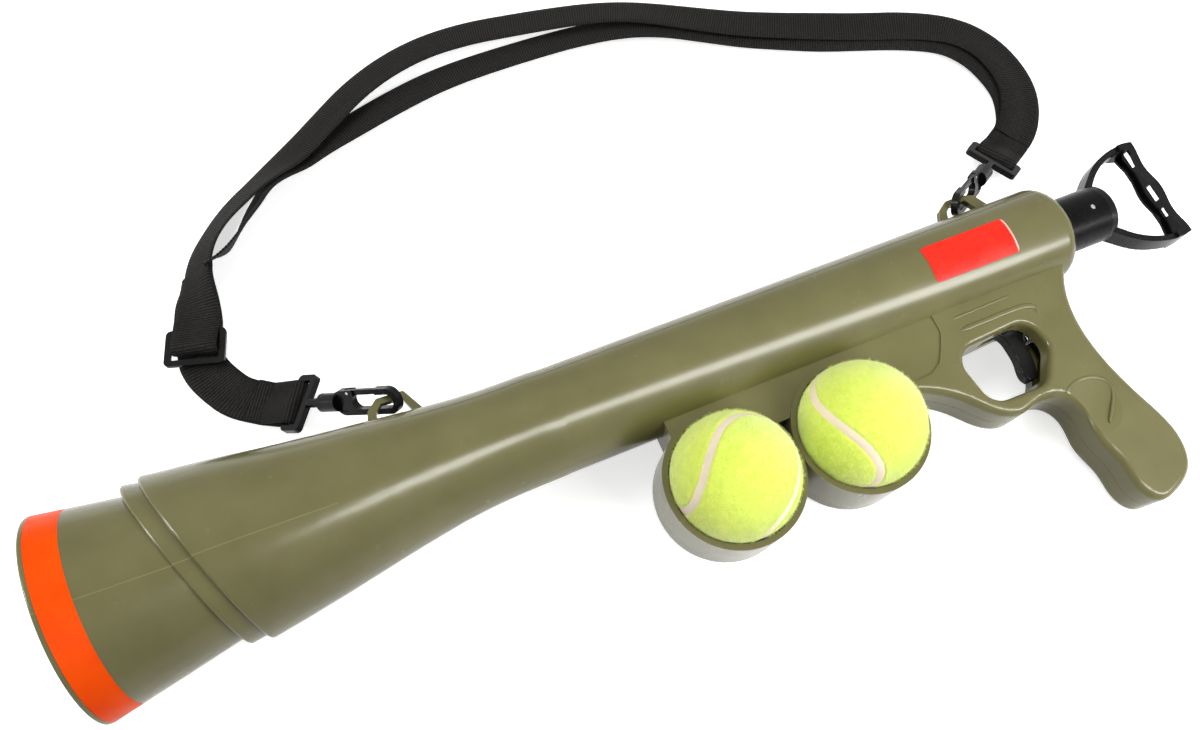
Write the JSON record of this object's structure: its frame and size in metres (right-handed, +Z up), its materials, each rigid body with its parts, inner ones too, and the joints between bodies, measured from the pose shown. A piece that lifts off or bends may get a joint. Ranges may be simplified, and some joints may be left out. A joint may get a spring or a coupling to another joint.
{
  "type": "dog tennis ball launcher",
  "caption": "Pull-back tennis ball launcher for dogs: flared barrel with a funnel muzzle, side cups that hold balls, trigger grip, D handle and webbing sling.",
  "frame": {"origin": "on the floor under the middle of the launcher as it lies on its right side, the strap left out", "axes": "+X from the muzzle to the pull handle, +Y to the side of the sling lugs, +Z up; the barrel leans 1.8 degrees down to the handle and the launcher is rolled 5.4 degrees"},
  "size_m": [0.6288, 0.4593, 0.0876],
  "materials": {
    "olive_plastic": "glossy moulded plastic",
    "black_plastic": "satin moulded plastic",
    "orange_plastic": "glossy",
    "natural_plastic": "natural, unpainted inner mouldings",
    "red_label": "printed film, blank",
    "webbing": "ribbed flat webbing",
    "felt": "fuzzy felt",
    "ball_rubber": "matt",
    "seal_rubber": "matt",
    "foam": "foam",
    "steel": "zinc plated"
  },
  "bodies": {
    "launcher": {"air_cylinder": "natural_plastic", "ball_cushion": "foam", "collar_ring": "olive_plastic", "front_bumper": "seal_rubber", "front_swivel_ring": "black_plastic", "label_patch": "red_label", "launching_cup": "natural_plastic", "left_body_shell": "olive_plastic", "main_spring": "steel", "muzzle_band": "orange_plastic", "muzzle_cone": "olive_plastic", "rear_bush": "natural_plastic", "rear_swivel_ring": "black_plastic", "right_body_shell": "olive_plastic", "sear_pin": "steel", "sear_spring": "steel", "shell_screws": "steel", "spring_bush": "natural_plastic", "strap_front_loop": "webbing", "strap_lower_run": "webbing", "strap_rear_loop": "webbing", "strap_slider": "black_plastic", "strap_slider_loop": "webbing", "strap_upper_run": "webbing", "trigger_pin": "steel", "trigger_spring": "steel"},
    "plunger": {"piston": "natural_plastic", "piston_seal": "seal_rubber", "piston_pin": "steel", "pull_tube": "black_plastic", "pull_handle": "black_plastic", "handle_pin": "steel"},
    "trigger": {"trigger": "black_plastic"},
    "sear": {"sear": "natural_plastic"},
    "ball_1": {"ball_1_core": "ball_rubber", "ball_1_felt": "felt"},
    "ball_2": {"ball_2_core": "ball_rubber", "ball_2_felt": "felt"},
    "front_hook": {"front_hook_body": "black_plastic", "front_gate_pin": "steel"},
    "front_gate": {"front_hook_gate": "black_plastic"},
    "rear_hook": {"rear_hook_body": "black_plastic", "rear_gate_pin": "steel"},
    "rear_gate": {"rear_hook_gate": "black_plastic"}
  },
  "joints": [
    {"name": "plunger_slide", "type": "slide", "parent": "launcher", "child": "plunger", "axis": [0.9995, 0, -0.0314], "range_m": [0, 0.11], "stiffness_N_per_m": 350, "springref_m": -0.02, "deforming": ["main_spring"]},
    {"name": "trigger_pull", "type": "hinge", "parent": "launcher", "child": "trigger", "pos_m": [0.17913, 0.00118, 0.02586], "axis": [0.0313, -0.0935, 0.9951], "range_deg": [0, 12], "stiffness_Nm_per_rad": 0.3, "deforming": ["trigger_spring"]},
    {"name": "sear_release", "type": "hinge", "parent": "launcher", "child": "sear", "pos_m": [0.18715, 0.00974, 0.02642], "axis": [0.0313, -0.0935, 0.9951], "range_deg": [0, 19.8], "stiffness_Nm_per_rad": 0.05, "deforming": ["sear_spring"]},
    {"name": "ball_1_lift", "type": "slide", "parent": "launcher", "child": "ball_1", "axis": [0.0313, -0.0935, 0.9951], "range_m": [0, 0.05]},
    {"name": "ball_2_lift", "type": "slide", "parent": "launcher", "child": "ball_2", "axis": [0.0313, -0.0935, 0.9951], "range_m": [0, 0.05]},
    {"name": "front_hook_turn", "type": "hinge", "parent": "launcher", "child": "front_hook", "pos_m": [-0.1762, 0.09794, 0.02101], "axis": [-0.7014, 0.4994, -0.5085], "range_deg": [-4, 4]},
    {"name": "front_gate_open", "type": "hinge", "parent": "front_hook", "child": "front_gate", "pos_m": [-0.16107, 0.09119, 0.03559], "axis": [0.7124, 0.4697, -0.5214], "range_deg": [0, 7], "stiffness_Nm_per_rad": 0.05},
    {"name": "rear_hook_turn", "type": "hinge", "parent": "launcher", "child": "rear_hook", "pos_m": [0.23329, 0.08954, 0.01715], "axis": [0.8267, 0.4463, -0.3426], "range_deg": [-4, 4]},
    {"name": "rear_gate_open", "type": "hinge", "parent": "rear_hook", "child": "rear_gate", "pos_m": [0.21574, 0.08311, 0.02888], "axis": [0.5621, -0.6828, 0.4667], "range_deg": [0, 7], "stiffness_Nm_per_rad": 0.05}
  ],
  "couplings": [
    {"joint": "sear_release", "follows": "trigger_pull", "ratio": 1.65}
  ]
}
